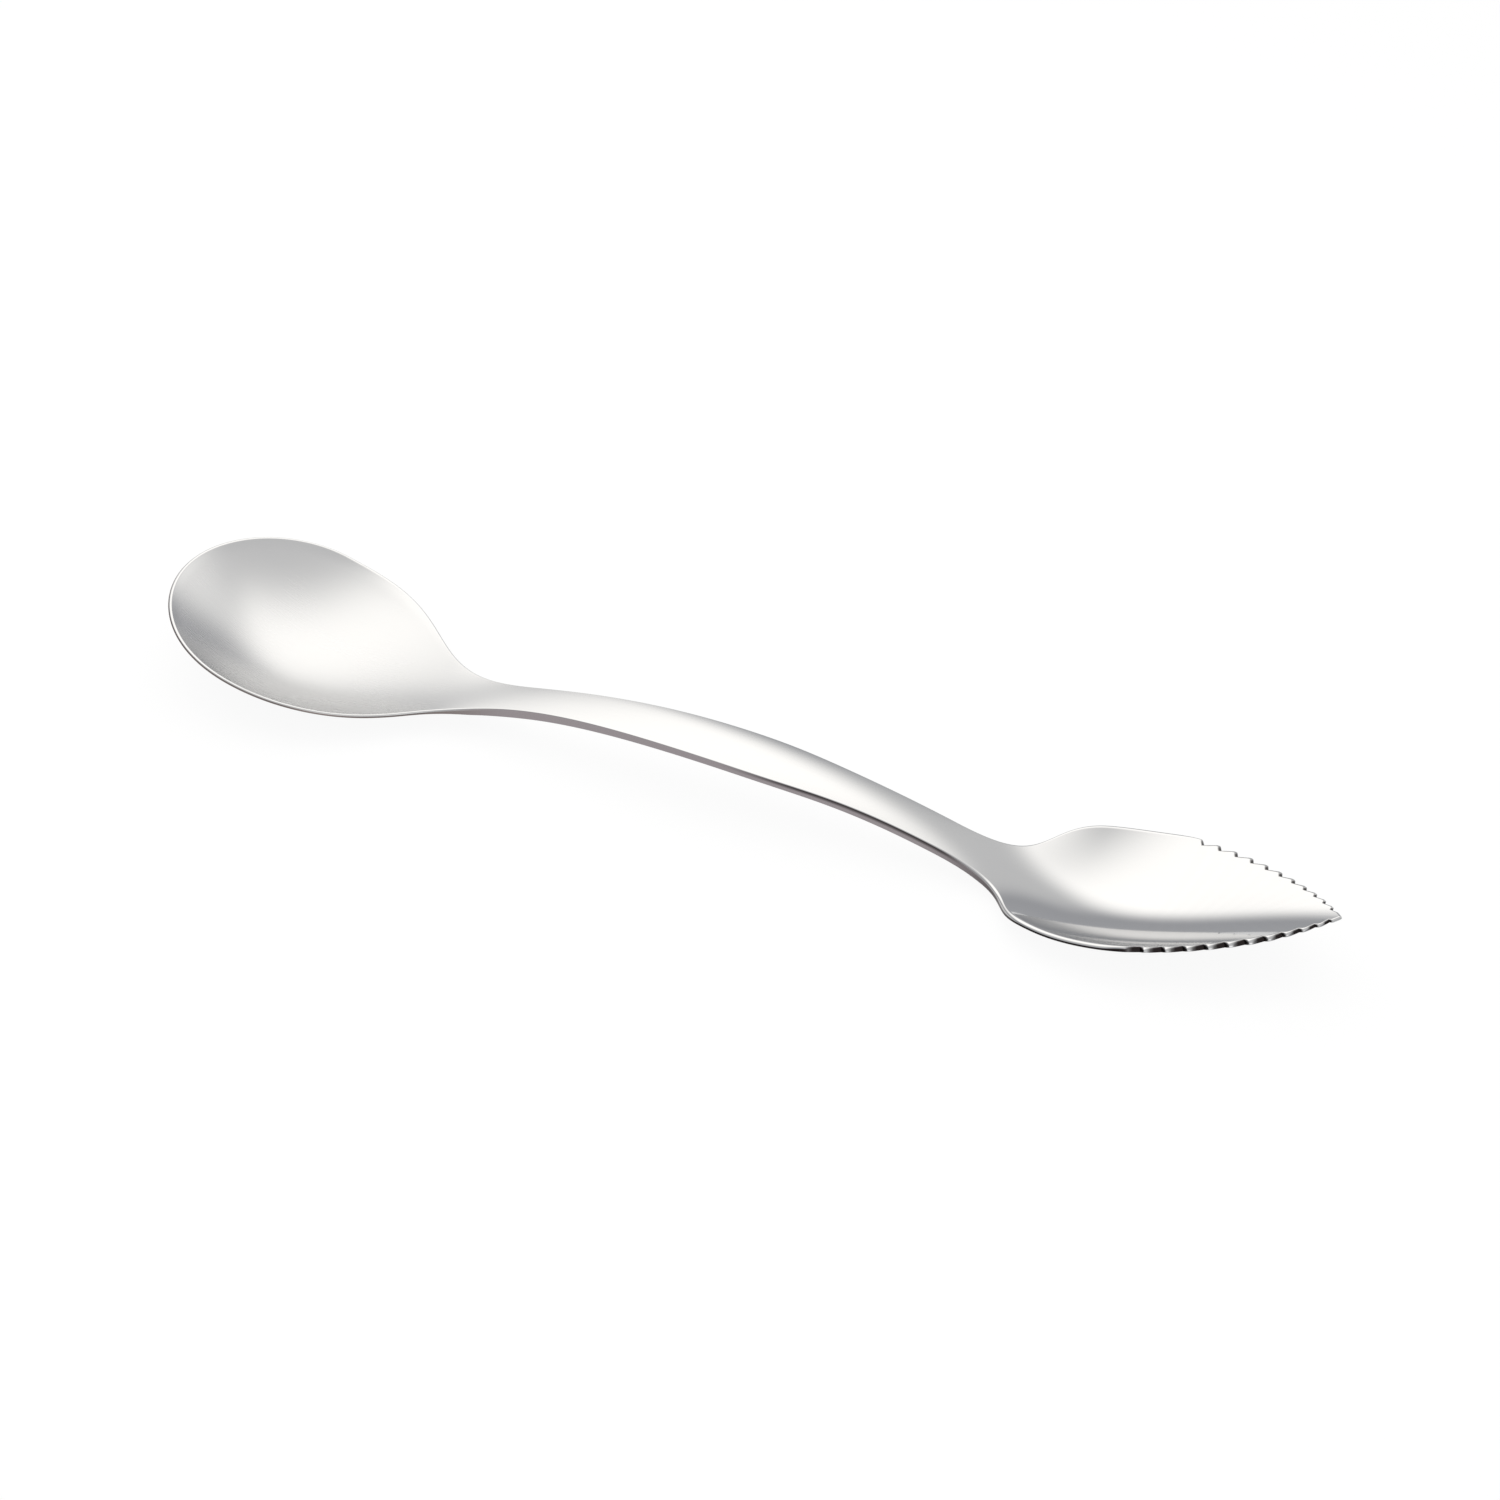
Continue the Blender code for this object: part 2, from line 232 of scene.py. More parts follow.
def pressed_sheet(name, middles, edges, outward, rounds, notches):
    """Add a flat grid, press it and fold it round both rims, then close its seam and its neck.

    Each row of the grid runs from the spoon's middle out along the upper face to both sides, over
    the rims and back along the underside.
    """
    stretches = np.cumsum([UPPER_COLUMNS, ROUND_COLUMNS, WALL_COLUMNS, EASE_COLUMNS, UNDER_COLUMNS])
    columns = int(stretches[-1])
    bpy.ops.object.select_all(action="DESELECT")
    bpy.ops.mesh.primitive_grid_add(x_subdivisions=len(edges) - 1, y_subdivisions=2 * columns, size=1)
    piece = bpy.context.object
    piece.name = name
    piece.data.name = name
    flat = np.zeros(len(piece.data.vertices) * 3)
    piece.data.vertices.foreach_get("co", flat)
    flat = flat.reshape(-1, 3)
    row = np.rint((flat[:, 0] + 0.5) * (len(edges) - 1)).astype(int)
    across = np.rint(flat[:, 1] * 2 * columns)
    side = np.where(across < 0, -1, 1)
    column = np.abs(across)

    upper = np.where(column < UPPER_COLUMNS, column / (UPPER_COLUMNS - 1) * (1 - RIM_MARGIN), 1)
    over = np.clip((column - stretches[0]) / ROUND_COLUMNS, 0, 1)
    wall = np.clip((column - stretches[1]) / WALL_COLUMNS, 0, 1)
    tuck = np.clip((column - stretches[2]) / EASE_COLUMNS, 0, 1)
    share = np.minimum(upper, (columns - column) / UNDER_COLUMNS)
    near_edge = soft_step(share, NOTCH_START, 1.0)

    plain_round = np.minimum(rounds, MOST_ROUND * sheet_thickness(*edges.T) - RIM_EASE)[row]
    dug = notches[row] / FULL_NOTCH
    rounding = plain_round + (NOTCH_LIP - plain_round) * dug
    swell = np.sin(over * math.pi / 2)
    grown = plain_round * swell - RIM_EASE * (1 - np.cos(tuck * math.pi / 2))
    cut = notches[row] * (1 + (NOTCH_UNDERSIDE - 1) * wall) - (plain_round - rounding) * (1 - swell)
    reach = grown * share - cut * near_edge
    lean = side * NOTCH_LEAN * notches[row] * near_edge
    ahead = outward[row][:, ::-1] * [1, -1]
    inner_rim = edges[row] - outward[row] * plain_round[:, None]
    plan = middles[row] + (inner_rim - middles[row]) * share[:, None]
    plan += outward[row] * reach[:, None] - ahead * lean[:, None]
    x = plan[:, 0]
    y = plan[:, 1] * side
    below = rounding * (1 - np.cos(over * math.pi / 2)) + RIM_EASE * np.sin(tuck * math.pi / 2)
    points = pressed(x, y, below + (sheet_thickness(x, y) - rounding - RIM_EASE) * wall)
    points[:, 2] = np.maximum(points[:, 2], 0.0)
    piece.data.vertices.foreach_set("co", points.ravel())

    # Painted shade: the sheared edge is coloured dark from some way down its rounding through its wall,
    # and past the first notch only on the notch flanks; a painted dark line lies over the foot of the
    # rounding and the top of the wall.
    bright = along_spoon(edges[row, 0], *RIM_BRIGHT)
    flank = soft_step(dug, *NOTCH_FLANK)
    depth = over * ROUND_DARKENS + wall + NOTCH_DARKENS * flank
    dark = soft_step(depth, bright, bright + DARK_FADE) * (1 - soft_step(tuck, *DARK_ENDS))
    past_first_notch = np.cumsum(notches)[row] > 0
    marks = {
        "sheared_edge_and_painted_shade": dark * np.where(past_first_notch, flank, 1.0),
        "painted_dark_line": soft_step(over, *LINE_STARTS) * (1 - soft_step(wall, *LINE_ENDS)),
        "rim": soft_step(share, *RUBBED_RIM),
    }
    for mark_name, strengths in marks.items():
        attribute = piece.data.attributes.new(mark_name, "FLOAT", "POINT")
        attribute.data.foreach_set("value", strengths)
    close_up(piece)
    return piece


def bezier(start, leave, arrive, end, t):
    """Points on a cubic curve between two ends, pulled towards its two handles."""
    t = np.asarray(t)[:, None]
    s = 1 - t
    return s ** 3 * start + 3 * s * s * t * leave + 3 * s * t * t * arrive + t ** 3 * end


def eased(start, end, start_ease, end_ease, t):
    """Points on an edge that leaves and arrives along X, each ease being a share of the stretch."""
    reach = np.array([end[0] - start[0], 0.0])
    return bezier(start, start + reach * start_ease, end - reach * end_ease, end, t)


def outward_of(edge, steps):
    """The directions square to an edge line that runs towards +X on the +Y side."""
    nudge = 0.0001
    ahead = edge(steps + nudge) - edge(steps - nudge)
    ahead /= np.linalg.norm(ahead, axis=1, keepdims=True)
    return np.stack([-ahead[:, 1], ahead[:, 0]], axis=1)


BOWL_NOSE = 18.9 * MM
BOWL_WIDTH = 40.1 * MM
BOWL_NECK_WIDTH = 7.1 * MM
BOWL_FULLNESS = 0.545
BOWL_NECK_EASE = 0.525
BOWL_POLE = 13.5 * MM
BOWL_NOSE_ROWS = 52
BOWL_BACK_ROWS = 96

# An extra row close to each weld, so that the shading there meets the next piece's
WELD_ROW = 0.001


def bowl_edge(steps):
    """From the tip round a quarter ellipse to the widest place at 1, then in to the neck at 2."""
    turn = np.minimum(steps, 1.0) * math.pi / 2
    nose = np.stack([-BOWL_NOSE * np.cos(turn), BOWL_WIDTH / 2 * np.sin(turn)], axis=1)
    widest = np.array([bowl_tip + BOWL_NOSE, BOWL_WIDTH / 2])
    neck = np.array([bowl_weld, BOWL_NECK_WIDTH / 2])
    back = eased(widest, neck, BOWL_FULLNESS, BOWL_NECK_EASE, steps - 1)
    return np.where(steps[:, None] < 1, nose + [bowl_tip + BOWL_NOSE, 0], back)


nose_steps = np.linspace(0, 1, BOWL_NOSE_ROWS, endpoint=False)
back_steps = np.linspace(1, 2, BOWL_BACK_ROWS + 1)
bowl_steps = np.sort(np.concatenate([nose_steps, back_steps, [2 - WELD_ROW]]))
bowl_edges = bowl_edge(bowl_steps)
bowl_middles = np.zeros_like(bowl_edges)
nose_middles = bowl_tip + BOWL_POLE + (BOWL_NOSE - BOWL_POLE) * bowl_steps
bowl_middles[:, 0] = np.where(bowl_steps < 1, nose_middles, bowl_edges[:, 0])
bowl_outward = outward_of(bowl_edge, bowl_steps)
bowl_rounds = rim_rounds(bowl_edges)
no_notches = np.zeros(len(bowl_steps))
bowl = pressed_sheet("satin_bowl", bowl_middles, bowl_edges, bowl_outward, bowl_rounds, no_notches)


class Signal:
    """A socket of a material or world: sums with signals add Math nodes to its node tree."""

    def __init__(self, tree, socket=None):
        self.tree = tree
        self.socket = socket

    def node(self, kind, settings, inputs, output=0):
        """Add a node: set it up, feed its sockets with numbers or signals, and return one output."""
        made = self.tree.nodes.new(kind)
        for name, value in settings.items():
            setattr(made, name, value)
        for name, value in inputs.items():
            if isinstance(value, Signal):
                self.tree.links.new(value.socket, made.inputs[name])
            else:
                made.inputs[name].default_value = value
        return Signal(self.tree, made.outputs[output]) if made.outputs else None

    def math(self, operation, left, right):
        return self.node("ShaderNodeMath", {"operation": operation}, {0: left, 1: right})

    def __add__(self, other):
        return self.math("ADD", self, other)

    def __radd__(self, other):
        return self.math("ADD", other, self)

    def __sub__(self, other):
        return self.math("SUBTRACT", self, other)

    def __rsub__(self, other):
        return self.math("SUBTRACT", other, self)

    def __mul__(self, other):
        return self.math("MULTIPLY", self, other)

    def __rmul__(self, other):
        return self.math("MULTIPLY", other, self)

    def mix(self, first, second):
        """The first colour where this signal is 0, the second where it is 1."""
        return self.node("ShaderNodeMix", {"data_type": "RGBA"}, {0: self, 6: first, 7: second}, 2)


def new_material(name):
    """An empty material, and a signal to add its nodes with."""
    material = bpy.data.materials.new(name)
    material.use_nodes = True
    material.node_tree.nodes.clear()
    return material, Signal(material.node_tree)


def streaks(steel, length, width):
    """Fine lines along the spoon, as an abrasive belt leaves them: 0 to 1."""
    place = steel.node("ShaderNodeTexCoord", {}, {}, "Object")
    repeats = (1 / length, 1 / width, 1 / length)
    drawn_out = steel.node("ShaderNodeMapping", {}, {"Vector": place, "Scale": repeats})
    grain = {"Vector": drawn_out, "Scale": 1.0, "Detail": 3.0, "Roughness": 0.6}
    return steel.node("ShaderNodeTexNoise", {}, grain)


def clouds(steel, size):
    """Soft patches, as handling and washing leave them: 0 to 1."""
    place = steel.node("ShaderNodeTexCoord", {}, {}, "Object")
    return steel.node("ShaderNodeTexNoise", {}, {"Vector": place, "Scale": 1 / size, "Detail": 2.0})


def smooth_rise(tree, value, start, end):
    """The soft step again, as a node: 0 below the start and 1 above the end."""
    smooth = {"interpolation_type": "SMOOTHERSTEP"}
    return tree.node("ShaderNodeMapRange", smooth, {"Value": value, "From Min": start, "From Max": end})


def along(steel, start, end):
    """0 before the start and 1 after the end, along the spoon."""
    place = steel.node("ShaderNodeTexCoord", {}, {}, "Object")
    x = steel.node("ShaderNodeSeparateXYZ", {}, {"Vector": place}, "X")
    return smooth_rise(steel, x, start, end)


def mark(steel, name):
    """One of the marks on a piece's mesh: its sheared edge, rougher and with painted shade, the painted
    dark line over that, or its rubbed rim.
    """
    return steel.node("ShaderNodeAttribute", {"attribute_name": name}, {}, "Fac")


def worn_gloss(steel, gloss, lines, patches, streaky, patchy, rubbed, sheared):
    """A roughness varied by lines and patches, less on the rubbed rim and more on the sheared edge."""
    varied = gloss + streaky * (lines - 0.5) + patchy * (patches - 0.5)
    return varied - rubbed * mark(steel, "rim") + sheared * mark(steel, "sheared_edge_and_painted_shade")


def surface(steel, colour, roughness, normal):
    """Bare metal all over, with what varies on it."""
    looks = {"Base Color": colour, "Metallic": 1.0, "Roughness": roughness, "Normal": normal}
    shader = steel.node("ShaderNodeBsdfPrincipled", {}, looks)
    steel.node("ShaderNodeOutputMaterial", {}, {"Surface": shader})


SATIN_DARK = (0.522, 0.522, 0.526, 1)
SATIN_LIGHT = (0.545, 0.545, 0.545, 1)
# Painted shade with a warm cast: the dark colour of the bowl's rim below its rounding.
BOWL_EDGE_PAINTED_SHADE = (0.20, 0.17, 0.16, 1)
# Painted shade: the dark colour of the handle's sheared sides, where they mirror the floor in front.
HANDLE_EDGE_PAINTED_SHADE = (0.30, 0.27, 0.28, 1)
SATIN_ROUGHNESS = 0.27
HANDLE_ROUGHNESS = 0.14
SATIN_FINE_SHARE = 0.6

satin_steel, satin = new_material("satin_steel")
fine = streaks(satin, length=9 * MM, width=0.16 * MM)
broad = streaks(satin, length=30 * MM, width=0.9 * MM)
patches = clouds(satin, size=14 * MM)
# Painted shade on the rim's lower side, turning into the handle's towards the neck.
edge = mark(satin, "sheared_edge_and_painted_shade")
neck = along(satin, *BOWL_FADE)
painted_edge_shade = neck.mix(BOWL_EDGE_PAINTED_SHADE, HANDLE_EDGE_PAINTED_SHADE)
brushed = fine * SATIN_FINE_SHARE + broad * (1 - SATIN_FINE_SHARE)
face_colour = brushed.mix(SATIN_DARK, SATIN_LIGHT)
gloss = SATIN_ROUGHNESS + (HANDLE_ROUGHNESS - SATIN_ROUGHNESS) * neck
gloss = worn_gloss(satin, gloss, fine, patches, streaky=0.03, patchy=0.05, rubbed=0.10, sheared=0.10)
relief = satin.node("ShaderNodeBump", {}, {"Strength": 0.05, "Distance": 0.004 * MM, "Height": fine})
surface(satin, edge.mix(face_colour, painted_edge_shade), gloss, relief)
bowl.data.materials.append(satin_steel)

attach(bowl, "root")
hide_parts("oval_bowl")


# Handle: an arched strip of thicker stainless, crowned on top and flat below, blanked from plate
# so that its sides keep a dull sheared face, coloured dark with painted shade, and finished finer
# than the bowl. A butt weld, ground flush, joins it to each end.

HANDLE_ROWS = 84
GRIP_WIDTH = 10.2 * MM
SCOOP_NECK_WIDTH = 7.6 * MM
HANDLE_BOWL_EASE = 0.26
GRIP_BOWL_EASE = 0.45
GRIP_SCOOP_EASE = 0.36
HANDLE_SCOOP_EASE = 0.60


def handle_edge(steps):
    """From the bowl's neck out to the grip at 1, the widest place, and in to the scoop's neck at 2."""
    bowl_end = np.array([bowl_weld, BOWL_NECK_WIDTH / 2])
    widest = np.array([grip, GRIP_WIDTH / 2])
    scoop_end = np.array([scoop_weld, SCOOP_NECK_WIDTH / 2])
    first = eased(bowl_end, widest, HANDLE_BOWL_EASE, GRIP_BOWL_EASE, steps)
    second = eased(widest, scoop_end, GRIP_SCOOP_EASE, HANDLE_SCOOP_EASE, steps - 1)
    return np.where(steps[:, None] < 1, first, second)


even_steps = np.linspace(0, 2, 2 * HANDLE_ROWS + 1)
handle_steps = np.sort(np.concatenate([even_steps, [WELD_ROW, 2 - WELD_ROW]]))
handle_edges = handle_edge(handle_steps)
handle_middles = handle_edges * [1, 0]
handle_outward = outward_of(handle_edge, handle_steps)
handle_rounds = rim_rounds(handle_edges)
no_notches = np.zeros(len(handle_steps))
arch = pressed_sheet(
    "arched_handle", handle_middles, handle_edges, handle_outward, handle_rounds, no_notches
)

HANDLE_DARK = (0.515, 0.515, 0.52, 1)
HANDLE_LIGHT = (0.545, 0.545, 0.545, 1)
# Painted shade: near-black for the scoop's notch flanks.
SCOOP_EDGE_PAINTED_SHADE = (0.025, 0.02, 0.02, 1)
# Painted reflection: near-black for the dark line along the top of the sheared side.
DARK_LINE_PAINTED_SHADE = (0.03, 0.025, 0.025, 1)
SCOOP_ROUGHNESS = 0.07
HANDLE_FINE_SHARE = 0.5

# The painted dark line over the sheared side, a painted reflection of dark surroundings, comes in past
# the grip and runs out on the scoop's neck
PAINTED_LINE_STARTS = (grip - 6.0 * MM, grip + 14.0 * MM)
PAINTED_LINE_ENDS = (scoop_weld, scoop_weld + 7.0 * MM)

handle_steel, finer = new_material("handle_steel")
fine = streaks(finer, length=12 * MM, width=0.13 * MM)
broad = streaks(finer, length=40 * MM, width=0.7 * MM)
patches = clouds(finer, size=18 * MM)
# Painted shade on the sheared sides, going from the bowl's rim colour through the handle's to the
# scoop's near-black.
edge = mark(finer, "sheared_edge_and_painted_shade")
bowl_end = along(finer, *BOWL_FADE)
scoop_end = along(finer, *SCOOP_FADE)
painted_edge_shade = scoop_end.mix(bowl_end.mix(BOWL_EDGE_PAINTED_SHADE, HANDLE_EDGE_PAINTED_SHADE), SCOOP_EDGE_PAINTED_SHADE)
# The painted dark line along the top of the sheared side, a painted reflection.
painted_line = along(finer, *PAINTED_LINE_STARTS) * mark(finer, "painted_dark_line")
painted_edge_shade = painted_line.mix(painted_edge_shade, DARK_LINE_PAINTED_SHADE)
brushed = fine * HANDLE_FINE_SHARE + broad * (1 - HANDLE_FINE_SHARE)
face_colour = brushed.mix(HANDLE_DARK, HANDLE_LIGHT)
gloss = SATIN_ROUGHNESS + (HANDLE_ROUGHNESS - SATIN_ROUGHNESS) * bowl_end
gloss = gloss + (SCOOP_ROUGHNESS - HANDLE_ROUGHNESS) * scoop_end
gloss = worn_gloss(finer, gloss, fine, patches, streaky=0.04, patchy=0.04, rubbed=0.06, sheared=0.12)
relief = finer.node("ShaderNodeBump", {}, {"Strength": 0.08, "Distance": 0.003 * MM, "Height": fine})
surface(finer, edge.mix(face_colour, painted_edge_shade), gloss, relief)
arch.data.materials.append(handle_steel)

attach(arch, "root")
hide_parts("handle")


# Serrated scoop: the pointed leaf-shaped end, pressed from 0.9 mm stainless sheet and polished.
# Eleven V-notches a side are ground through its edge from the hollow side, deeper above than below,
# and their flanks are coloured near-black with painted shade. Its neck is butt-welded to the handle
# and ground flush.

SCOOP_NOSE = 33.1 * MM
SCOOP_WIDTH = 32.0 * MM
SCOOP_TIP_RUN = 12.0 * MM
SCOOP_TIP_HALF_ANGLE = math.radians(49.0)
SCOOP_TIP_RADIUS = 0.45 * MM
SCOOP_NECK_EASE = 0.63
SCOOP_SHOULDER_FULLNESS = 0.80
SCOOP_NOSE_FULLNESS = 0.25
SCOOP_POLE = 9.0 * MM
PLAIN_SHOULDER = 4.2 * MM
PLAIN_TIP = 1.0 * MM
TOOTH_COUNT = 11
TOOTH_DEPTH = 0.85 * MM
TOOTH_TAPER = 0.30
TOOTH_LAND = 0.35 * MM
SHOULDER_ROUND = 0.32 * MM
TOOTH_ROUND = 0.75 * MM
SCOOP_BACK_ROWS = 84
SHOULDER_ROWS = 20
FLANK_ROWS = 4
TIP_ROWS = 6
TIP_MIDDLE_SHIFT = 0.01
EDGE_SAMPLES = 4000

scoop_widest = np.array([scoop_tip - SCOOP_NOSE, SCOOP_WIDTH / 2])
tip_turn = math.pi / 2 - SCOOP_TIP_HALF_ANGLE
tip_centre = np.array([scoop_tip - SCOOP_TIP_RADIUS, 0.0])
tip_start = tip_centre + SCOOP_TIP_RADIUS * np.array([math.cos(tip_turn), math.sin(tip_turn)])


def scoop_edge(steps):
    """From the neck out to the widest place at 1, along the untoothed edge to 2, round the tip to 3."""
    neck = np.array([scoop_weld, SCOOP_NECK_WIDTH / 2])
    back = eased(neck, scoop_widest, SCOOP_NECK_EASE, SCOOP_SHOULDER_FULLNESS, steps)
    leave = scoop_widest + [SCOOP_NOSE * SCOOP_NOSE_FULLNESS, 0]
    run = np.array([-math.cos(SCOOP_TIP_HALF_ANGLE), math.sin(SCOOP_TIP_HALF_ANGLE)])
    nose = bezier(scoop_widest, leave, tip_start + run * SCOOP_TIP_RUN, tip_start, steps - 1)
    turn = tip_turn * (3 - steps)
    tip = tip_centre + SCOOP_TIP_RADIUS * np.stack([np.cos(turn), np.sin(turn)], axis=1)
    return np.where(steps[:, None] < 1, back, np.where(steps[:, None] < 2, nose, tip))


# Measure along the cutting edge, and set out the teeth on it, which get smaller towards the tip
samples = np.linspace(1, 2, EDGE_SAMPLES + 1)
hops = np.linalg.norm(np.diff(scoop_edge(samples), axis=0), axis=1)
edge_lengths = np.concatenate([[0.0], np.cumsum(hops)])
tooth_sizes = 1 - TOOTH_TAPER * np.linspace(0, 1, TOOTH_COUNT) ** 2
tooth_pitches = tooth_sizes * (edge_lengths[-1] - PLAIN_SHOULDER - PLAIN_TIP) / tooth_sizes.sum()
tooth_tips = PLAIN_SHOULDER + np.concatenate([[0.0], np.cumsum(tooth_pitches)])
notch_places = (tooth_tips[:-1] + tooth_tips[1:]) / 2
shoulder_places = np.linspace(0, PLAIN_SHOULDER, SHOULDER_ROWS, endpoint=False)
edge_places = [shoulder_places]
edge_notches = [0 * shoulder_places]
for size, start, notch, end in zip(tooth_sizes, tooth_tips, notch_places, tooth_tips[1:]):
    edge_places.append(np.linspace(start + TOOTH_LAND / 2, notch, FLANK_ROWS, endpoint=False))
    edge_notches.append(np.linspace(0, size * TOOTH_DEPTH, FLANK_ROWS, endpoint=False))
    edge_places.append(np.linspace(notch, end - TOOTH_LAND / 2, FLANK_ROWS + 1))
    edge_notches.append(np.linspace(size * TOOTH_DEPTH, 0, FLANK_ROWS + 1))
edge_places = np.concatenate([*edge_places, [edge_lengths[-1] - PLAIN_TIP / 2]])
edge_notches = np.concatenate([*edge_notches, [0.0]])
edge_steps = np.interp(edge_places, edge_lengths, samples)

# Put the rows together: the plain back from the neck, the cutting edge and the tip
even_steps = np.linspace(0, 1, SCOOP_BACK_ROWS, endpoint=False)
neck_steps = np.sort(np.concatenate([even_steps, [WELD_ROW]]))
tip_steps = np.linspace(2, 3, TIP_ROWS + 1)
on_back = np.zeros(len(neck_steps))
on_tip = np.ones(len(tip_steps))
scoop_steps = np.concatenate([neck_steps, edge_steps, tip_steps])
notches = np.concatenate([on_back, edge_notches, 0 * on_tip])
scoop_edges = scoop_edge(scoop_steps)
scoop_outward = outward_of(scoop_edge, scoop_steps)

# On the nose the rows fan out from a stretch of the middle that ends short of the tip. Those round
# the tip start close together there.
tip_travel = 1 + TIP_MIDDLE_SHIFT * (tip_steps - 2)
travelled = np.concatenate([on_back, edge_places / edge_lengths[-1], tip_travel])
fanned = scoop_widest[0] + (SCOOP_NOSE - SCOOP_POLE) * travelled
scoop_middles = np.zeros_like(scoop_edges)
scoop_middles[:, 0] = np.where(scoop_steps < 1, scoop_edges[:, 0], fanned)

# The rim's rounding tightens along the plain shoulder and is wide along the teeth
shoulder = np.concatenate([on_back, soft_step(edge_places, 0.0, PLAIN_SHOULDER), on_tip])
shoulder_rounds = rim_rounds(scoop_edges) * (1 - shoulder) + SHOULDER_ROUND * shoulder
toothed = np.concatenate([on_back, edge_places >= notch_places[0], on_tip])
scoop_rounds = np.where(toothed, TOOTH_ROUND, shoulder_rounds)
scoop = pressed_sheet("toothed_scoop", scoop_middles, scoop_edges, scoop_outward, scoop_rounds, notches)

POLISHED_DARK = (0.515, 0.515, 0.52, 1)
POLISHED_LIGHT = (0.545, 0.545, 0.545, 1)
POLISHED_FINE_SHARE = 0.5

polished_steel, polished = new_material("polished_steel")
fine = streaks(polished, length=10 * MM, width=0.12 * MM)
patches = clouds(polished, size=12 * MM)
# Painted shade on the notch flanks, and on the neck's sheared sides.
edge = mark(polished, "sheared_edge_and_painted_shade")
neck = along(polished, *SCOOP_FADE)
# The painted dark line, a painted reflection, runs out on the neck.
painted_line = (1 - along(polished, *PAINTED_LINE_ENDS)) * mark(polished, "painted_dark_line")
painted_edge_shade = painted_line.mix(neck.mix(HANDLE_EDGE_PAINTED_SHADE, SCOOP_EDGE_PAINTED_SHADE), DARK_LINE_PAINTED_SHADE)
buffed = fine * POLISHED_FINE_SHARE + patches * (1 - POLISHED_FINE_SHARE)
face_colour = buffed.mix(POLISHED_DARK, POLISHED_LIGHT)
gloss = HANDLE_ROUGHNESS + (SCOOP_ROUGHNESS - HANDLE_ROUGHNESS) * neck
gloss = worn_gloss(polished, gloss, fine, patches, streaky=0.02, patchy=0.02, rubbed=0.02, sheared=0.20)
relief = polished.node("ShaderNodeBump", {}, {"Strength": 0.06, "Distance": 0.002 * MM, "Height": fine})
surface(polished, edge.mix(face_colour, painted_edge_shade), gloss, relief)
scoop.data.materials.append(polished_steel)

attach(scoop, "root")
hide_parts("serrated_scoop")


# Floor: a plain white table top, a hair below the spoon's rest flats. It shows white to the camera
# and in the steel, and still takes the soft shadow.

FLOOR_SIZE = 40.0
FLOOR_DROP = 0.02 * MM
FLOOR_COLOUR = (0.92, 0.92, 0.92, 1)
FLOOR_GLOW = 0.9


def seen_directly(tree):
    """1 for the camera's rays and for those that metal or glass sends on, 0 for other light."""
    direct = tree.node("ShaderNodeLightPath", {}, {}, "Is Camera Ray")
    kinds = direct.socket.node.outputs
    mirrored = Signal(tree.tree, kinds["Is Glossy Ray"])
    passed_on = Signal(tree.tree, kinds["Is Transmission Ray"])
    total = direct + mirrored + passed_on
    return total.math("MINIMUM", total, 1.0)


bpy.ops.mesh.primitive_plane_add(size=FLOOR_SIZE, location=(0, 0, -FLOOR_DROP))
floor = bpy.context.object
floor.name = "floor"
table_white, paint = new_material("table_white")
matt = paint.node("ShaderNodeBsdfDiffuse", {}, {"Color": FLOOR_COLOUR})
glow = paint.node("ShaderNodeEmission", {}, {"Color": (1, 1, 1, 1), "Strength": 1.0})
glowing = FLOOR_GLOW * seen_directly(paint)
shown = paint.node("ShaderNodeMixShader", {}, {"Fac": glowing, 1: matt, 2: glow})
paint.node("ShaderNodeOutputMaterial", {}, {"Surface": shown})
floor.data.materials.append(table_white)


# Light: a large soft box hangs behind the spoon on the bowl's side, and weaker ones stand behind and
# in front of it on the scoop's side, in a room with grey walls and a white ceiling. They fade towards
# their edges. A lamp overhead, which the steel doesn't mirror, whitens the floor.

SPOON = (0.0, 0.0, 0.0)
WALL_GLOW = 0.56
WALL_TINT = (0.965, 0.98, 1.02, 1)
CEILING_GLOW = 0.90
CEILING_FROM = (math.sin(math.radians(15)), math.sin(math.radians(39)))
LAMP_HEIGHT = 2.0
LAMP_SIZE = 2.4
LAMP_POWER = 8.0


def panel(name, centre, aim, turn, half_size, solid, brightness, tint):
    """A glowing panel aimed at a point: past the solid shares of its half sizes it fades to nothing."""
    bpy.ops.mesh.primitive_plane_add(size=2, location=centre)
    made = bpy.context.object
    made.name = name
    facing = (Vector(aim) - Vector(centre)).to_track_quat("-Z", "Y")
    made.rotation_euler = (facing @ Quaternion((0, 0, 1), turn)).to_euler()
    made.scale = (*half_size, 1)
    cloth, weave = new_material(name)
    place = weave.node("ShaderNodeTexCoord", {}, {}, "Object")
    cover = 1.0
    for axis, share in zip("XY", solid):
        across = weave.node("ShaderNodeSeparateXYZ", {}, {"Vector": place}, axis)
        away = across.math("ABSOLUTE", across, 0.0)
        cover = cover * (1 - smooth_rise(weave, away, share, 1.0))
    clear = weave.node("ShaderNodeBsdfTransparent", {}, {})
    glow = weave.node("ShaderNodeEmission", {}, {"Color": (*tint, 1), "Strength": brightness})
    shown = weave.node("ShaderNodeMixShader", {}, {"Fac": cover, 1: clear, 2: glow})
    weave.node("ShaderNodeOutputMaterial", {}, {"Surface": shown})
    made.data.materials.append(cloth)
    made.visible_camera = False


